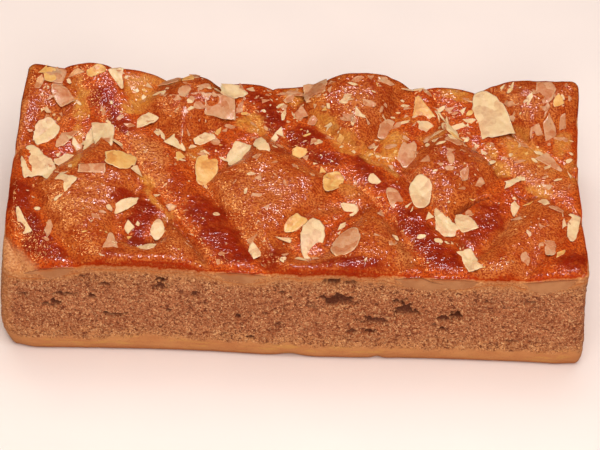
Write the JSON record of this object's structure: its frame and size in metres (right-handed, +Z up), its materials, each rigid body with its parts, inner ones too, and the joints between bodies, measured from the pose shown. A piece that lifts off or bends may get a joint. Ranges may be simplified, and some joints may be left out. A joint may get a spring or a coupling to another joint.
{
  "type": "speculoos cake",
  "caption": "Rectangular bar of brown spiced cake with a glazed top, a slanting lattice of baked almond paste and scattered flaked almonds.",
  "frame": {"origin": "middle of the flat underside of the bar", "axes": "+X along the bar's length, to the right seen from the front cut; +Y from the front cut to the back; +Z up"},
  "size_m": [0.2544, 0.1282, 0.0588],
  "materials": {
    "crumb": "open brown cake crumb, matt and porous, with a smooth lighter base skin",
    "glazed_top": "browned crust under a clear glossy glaze, fine-grained",
    "almond_paste": "baked almond paste, dark red-brown with golden edges, glazed",
    "almond_pale": "cream flaked almond, matt to satin",
    "almond_golden": "flaked almond browned golden under glaze",
    "almond_glazed": "thin flaked almond soaked in glaze, half see-through"
  },
  "bodies": {
    "root": {"cake_crumb": "crumb", "upper_strip_1": "almond_paste", "upper_strip_2": "almond_paste", "upper_strip_3": "almond_paste", "upper_strip_4": "almond_paste", "lower_strip_1": "almond_paste", "lower_strip_2": "almond_paste", "lower_strip_3": "almond_paste", "lower_strip_4": "almond_paste", "lower_strip_5": "almond_paste", "almond_flake_01": "almond_pale", "almond_flake_02": "almond_pale", "almond_flake_03": "almond_pale", "almond_flake_04": "almond_pale", "almond_flake_05": "almond_pale", "almond_flake_06": "almond_glazed", "almond_flake_07": "almond_pale", "almond_flake_08": "almond_pale", "almond_flake_09": "almond_golden", "almond_flake_10": "almond_glazed", "almond_flake_11": "almond_pale", "almond_flake_12": "almond_pale", "almond_flake_13": "almond_glazed", "almond_flake_14": "almond_pale", "almond_flake_15": "almond_pale", "almond_flake_16": "almond_golden", "almond_flake_17": "almond_golden", "almond_flake_18": "almond_glazed", "almond_flake_19": "almond_glazed", "almond_flake_20": "almond_pale", "almond_flake_21": "almond_pale", "almond_flake_22": "almond_pale", "almond_flake_23": "almond_pale", "almond_flake_24": "almond_golden", "almond_flake_25": "almond_pale", "almond_flake_26": "almond_pale", "almond_flake_27": "almond_glazed", "almond_flake_28": "almond_golden", "almond_flake_29": "almond_pale", "almond_flake_30": "almond_glazed", "almond_flake_31": "almond_golden", "almond_flake_32": "almond_glazed", "almond_flake_33": "almond_pale", "almond_flake_34": "almond_pale", "almond_flake_35": "almond_pale", "almond_flake_36": "almond_pale", "almond_flake_37": "almond_glazed", "almond_flake_38": "almond_golden", "almond_flake_39": "almond_glazed", "almond_flake_40": "almond_pale", "almond_flake_41": "almond_pale", "almond_flake_42": "almond_glazed", "almond_flake_43": "almond_glazed", "almond_flake_44": "almond_pale", "almond_flake_45": "almond_pale", "almond_flake_46": "almond_glazed"}
  },
  "joints": []
}
